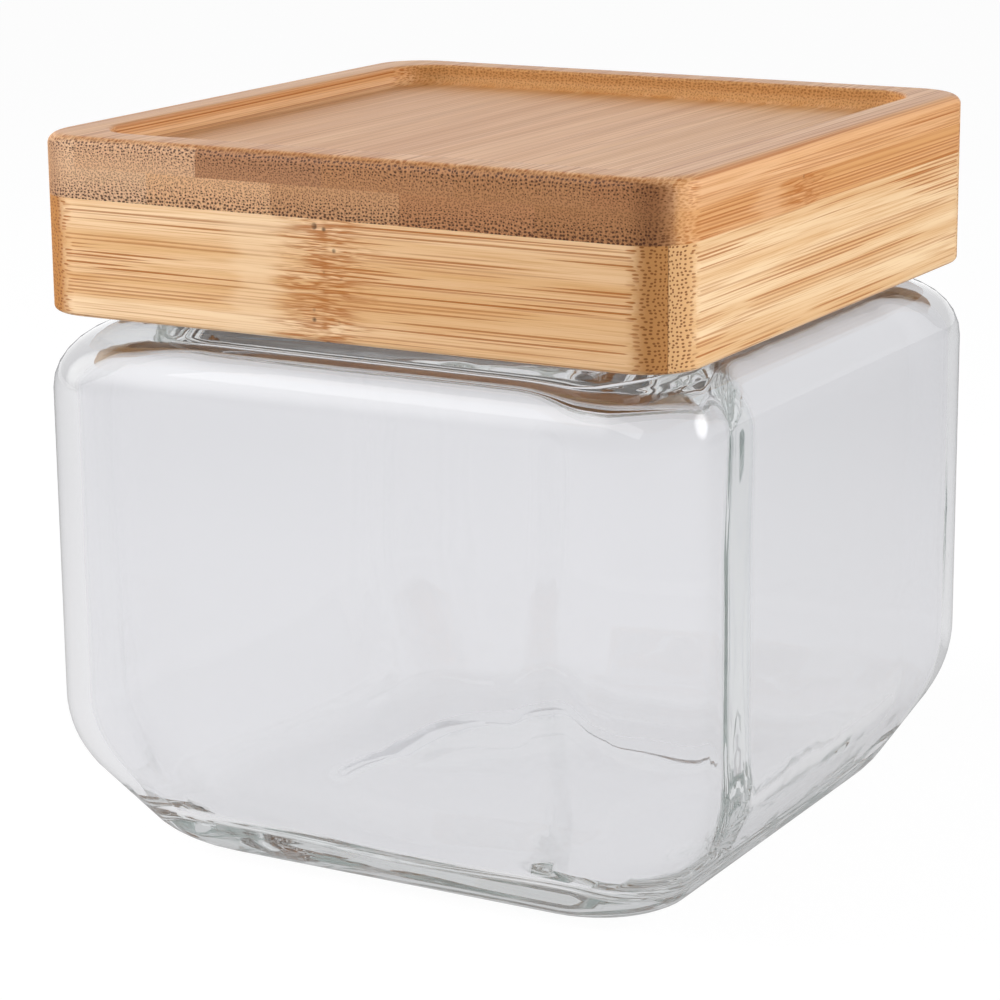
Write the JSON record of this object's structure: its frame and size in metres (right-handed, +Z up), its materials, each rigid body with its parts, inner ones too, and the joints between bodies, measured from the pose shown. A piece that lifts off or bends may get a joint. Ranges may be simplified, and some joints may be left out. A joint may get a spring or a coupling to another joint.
{
  "type": "glass canister",
  "caption": "Square clear glass food canister with a sloped foot, rounded shoulder and a lift-off laminated bamboo lid that has a stacking recess in its top and a silicone seal inside.",
  "frame": {"origin": "centre of the foot, on the surface that the canister stands on", "axes": "+Z up through the mouth, -Y towards the front, +X to the right"},
  "size_m": [0.12, 0.12, 0.124],
  "materials": {
    "clear_glass": "clear moulded soda-lime glass, fire-polished",
    "rail_bamboo": "satin oiled bamboo, long grain",
    "lower_bamboo": "satin oiled bamboo, end grain at the front and back",
    "upper_bamboo": "satin oiled bamboo, sanded top",
    "silicone": "matte translucent white silicone"
  },
  "bodies": {
    "jar": {"glass_jar": "clear_glass"},
    "lid": {"rail_front": "rail_bamboo", "rail_right": "rail_bamboo", "rail_back": "rail_bamboo", "rail_left": "rail_bamboo", "lower_stave_1": "lower_bamboo", "lower_stave_2": "lower_bamboo", "lower_stave_3": "lower_bamboo", "lower_stave_4": "lower_bamboo", "lower_stave_5": "lower_bamboo", "upper_stave_1": "upper_bamboo", "upper_stave_2": "upper_bamboo", "upper_stave_3": "upper_bamboo", "upper_stave_4": "upper_bamboo", "upper_stave_5": "upper_bamboo", "upper_stave_6": "upper_bamboo", "seal_ring": "silicone"}
  },
  "joints": [
    {"name": "lid_lift", "type": "slide", "parent": "jar", "child": "lid", "axis": [0, 0, 1], "range_m": [0, 0.06]}
  ]
}
